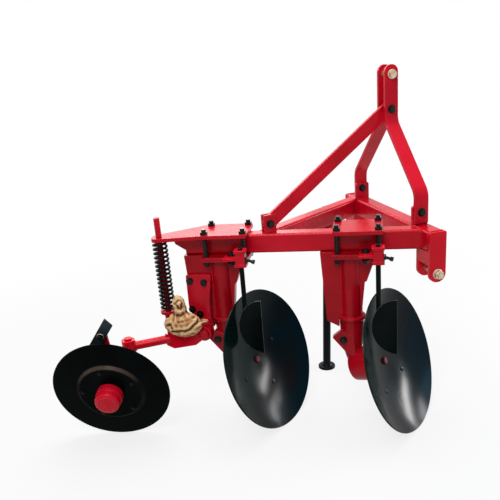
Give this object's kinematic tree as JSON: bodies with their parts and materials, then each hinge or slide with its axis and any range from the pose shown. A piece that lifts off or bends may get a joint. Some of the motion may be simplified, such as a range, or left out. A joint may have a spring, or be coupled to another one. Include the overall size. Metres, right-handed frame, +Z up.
{
  "type": "disc plough",
  "caption": "Tractor-mounted disc plough: slanted tube frame with hitch mast, angled dished discs on bolted legs with scrapers, sprung rear furrow wheel and sliding parking stand.",
  "frame": {"origin": "middle of the plan box, on the ground", "axes": "+X forward, +Y left, +Z up"},
  "size_m": [1.8098, 1.1404, 1.575],
  "materials": {
    "red_paint": "gloss",
    "disc_black": "gloss",
    "dark_iron": "satin",
    "dark_bolt": "dark oxide",
    "zinc_pin": "zinc plated",
    "tan_wrap": "matt"
  },
  "bodies": {
    "frame": {"main_beam": "red_paint", "cross_beam": "red_paint", "brace_beam": "red_paint", "hitch_clevis_right": "red_paint", "lower_link_pin_right": "zinc_pin", "hitch_clevis_left": "red_paint", "lower_link_pin_left": "zinc_pin", "mast_leg_right": "red_paint", "mast_lug_right": "red_paint", "mast_foot_bolt_right": "dark_bolt", "mast_leg_left": "red_paint", "mast_lug_left": "red_paint", "mast_foot_bolt_left": "dark_bolt", "top_link_pin": "zinc_pin", "mast_bolt": "dark_bolt", "mast_stay": "red_paint", "stay_lug": "red_paint", "stay_bolt": "dark_bolt", "front_hub_arm": "red_paint", "front_leg": "red_paint", "front_clamp_bolts": "dark_bolt", "clamp_plate": "red_paint", "front_scraper_bracket": "red_paint", "front_scraper": "dark_iron", "rear_hub_arm": "red_paint", "rear_leg": "red_paint", "rear_clamp_bolts": "dark_bolt", "tail_plate": "red_paint", "rear_scraper_bracket": "red_paint", "rear_scraper": "dark_iron", "stand_socket": "red_paint", "wheel_bracket": "red_paint", "pivot_pin": "dark_bolt", "wheel_lever": "red_paint", "spring_rod": "red_paint", "spring": "dark_iron", "wheel_carrier": "red_paint", "wheel_scraper": "dark_iron", "pivot_wrap": "tan_wrap"},
    "front_disc": {"front_disc": "disc_black", "front_disc_hub": "red_paint"},
    "rear_disc": {"rear_disc": "disc_black", "rear_disc_hub": "red_paint"},
    "furrow_wheel": {"furrow_wheel": "disc_black", "wheel_hub": "red_paint"},
    "stand": {"stand_leg": "dark_iron"}
  },
  "joints": [
    {"name": "front_disc_spin", "type": "hinge", "parent": "frame", "child": "front_disc", "pos_m": [0.65421, -0.33611, 0.31498], "axis": [0.6426, -0.6989, 0.314], "continuous": true},
    {"name": "rear_disc_spin", "type": "hinge", "parent": "frame", "child": "rear_disc", "pos_m": [0.10954, -0.08444, 0.31498], "axis": [0.6426, -0.6989, 0.314], "continuous": true},
    {"name": "furrow_wheel_spin", "type": "hinge", "parent": "frame", "child": "furrow_wheel", "pos_m": [-0.64461, -0.02335, 0.26687], "axis": [-0.3123, -0.9226, -0.2267], "continuous": true},
    {"name": "stand_slide", "type": "slide", "parent": "frame", "child": "stand", "axis": [0.0537, 0.0342, 0.998], "range_m": [0, 0.3]}
  ]
}
